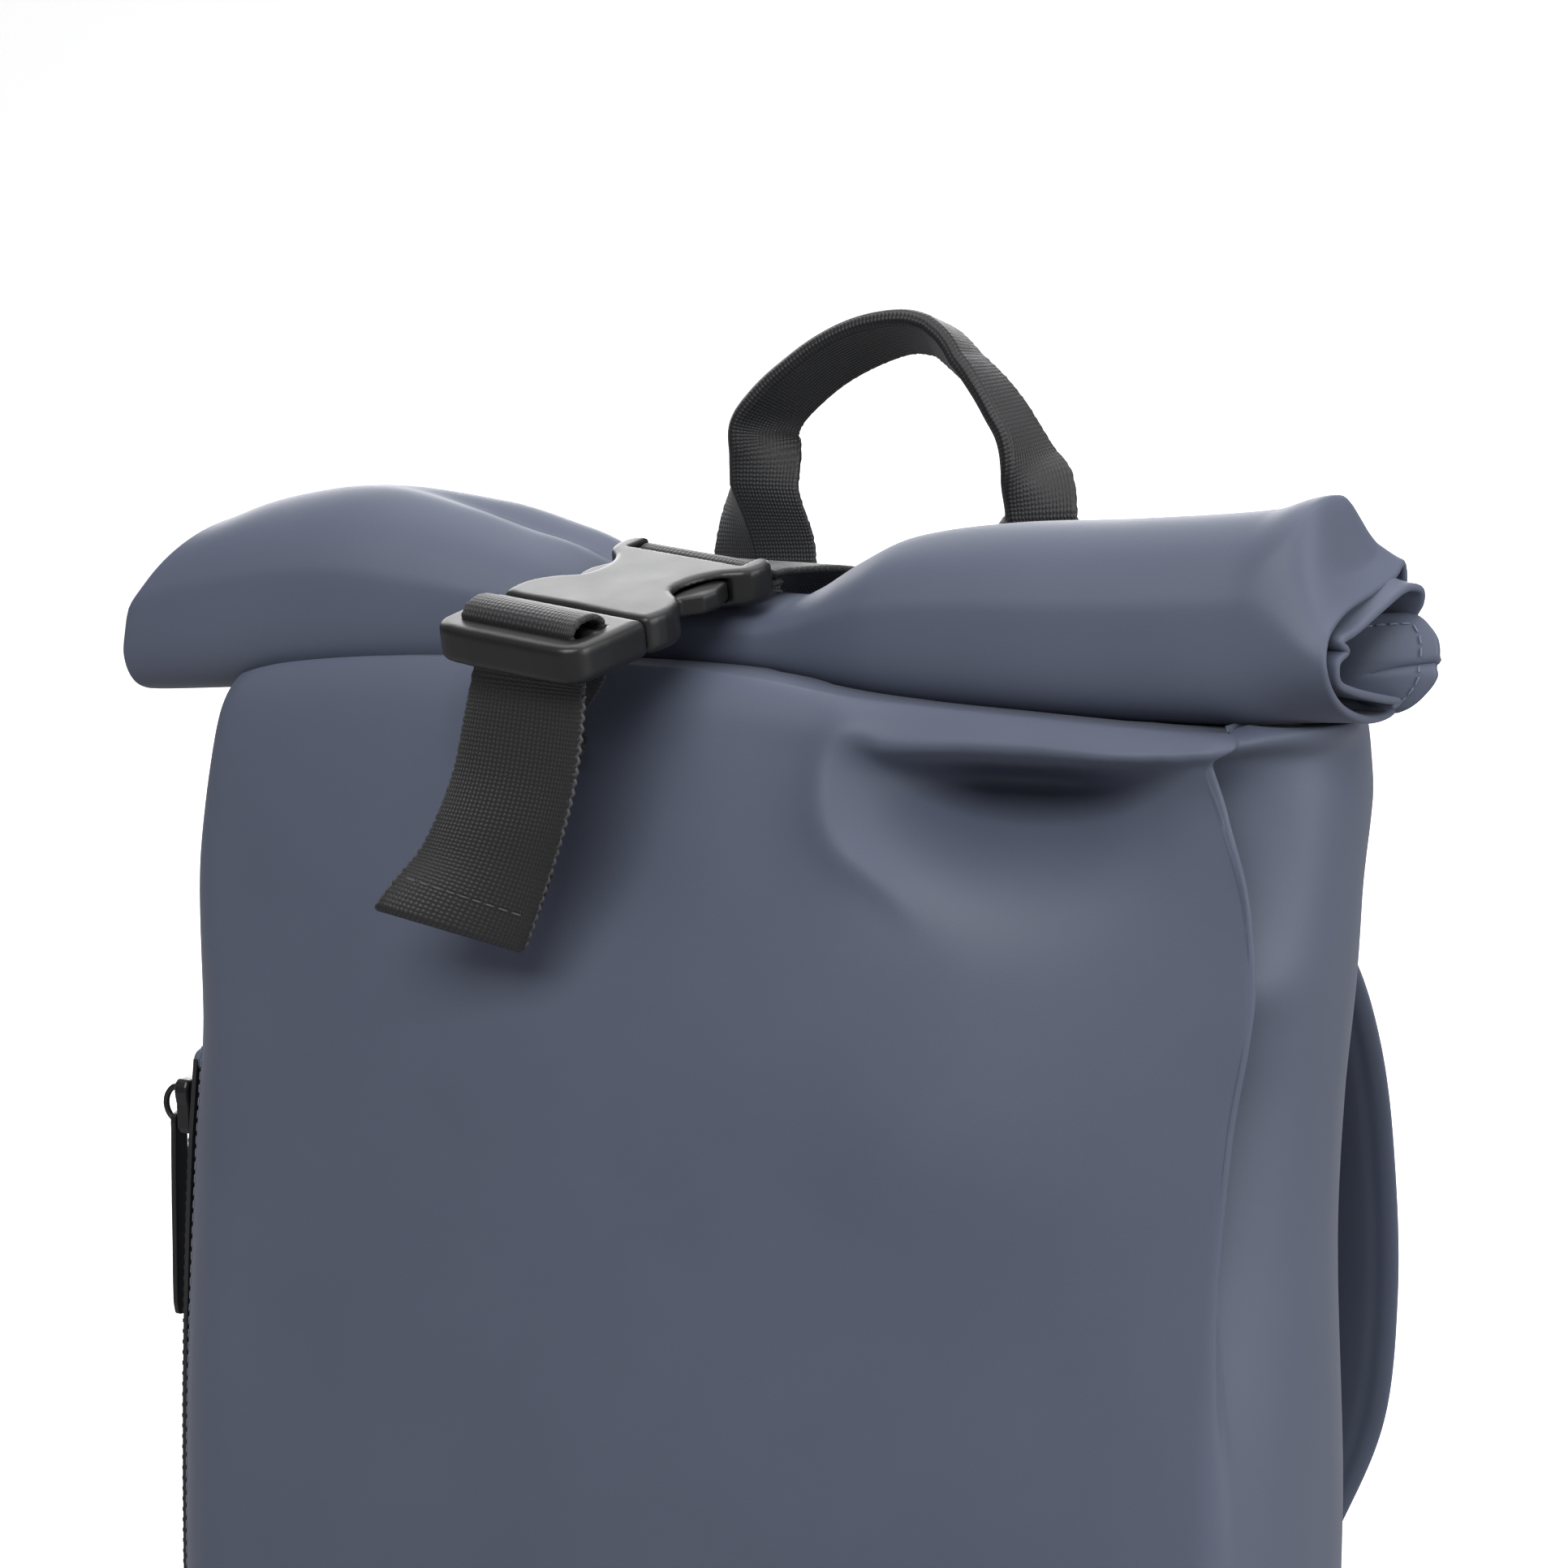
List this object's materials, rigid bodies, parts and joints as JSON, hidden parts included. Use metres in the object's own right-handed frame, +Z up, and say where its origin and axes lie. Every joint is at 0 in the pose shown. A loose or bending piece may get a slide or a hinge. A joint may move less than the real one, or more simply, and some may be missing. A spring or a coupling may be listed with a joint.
{
  "type": "rolltop backpack",
  "caption": "Boxy coated-fabric backpack with its mouth rolled down under a buckled webbing strap, grab handle, side zip with hanging pull and padded shoulder straps.",
  "frame": {"origin": "centre of the flat base's underside", "axes": "+X across the pack to the right as seen from its front, +Y from its front to its back, +Z up from the floor"},
  "size_m": [0.3651, 0.2211, 0.4701],
  "materials": {
    "coated_cloth": "matte coated",
    "webbing": "woven",
    "black_plastic": "fine grain",
    "zip": "gloss"
  },
  "bodies": {
    "pack": {"bag_shell": "coated_cloth", "rolled_top": "coated_cloth", "buckle_frame": "black_plastic", "buckle_socket": "black_plastic", "closure_strap_front": "webbing", "closure_strap_rear": "webbing", "grab_handle": "webbing", "side_zip": "zip", "zip_end_tack": "coated_cloth", "zip_slider": "zip", "shoulder_strap_left": "coated_cloth", "ladder_lock_left": "black_plastic", "lower_webbing_left": "webbing", "shoulder_strap_right": "coated_cloth", "ladder_lock_right": "black_plastic", "lower_webbing_right": "webbing"},
    "pull": {"zip_pull": "zip"}
  },
  "joints": [
    {"name": "pull_swing", "type": "hinge", "parent": "pack", "child": "pull", "pos_m": [-0.16453, -0.03151, 0.2508], "axis": [1, 0, 0], "range_deg": [-75, 75]}
  ]
}
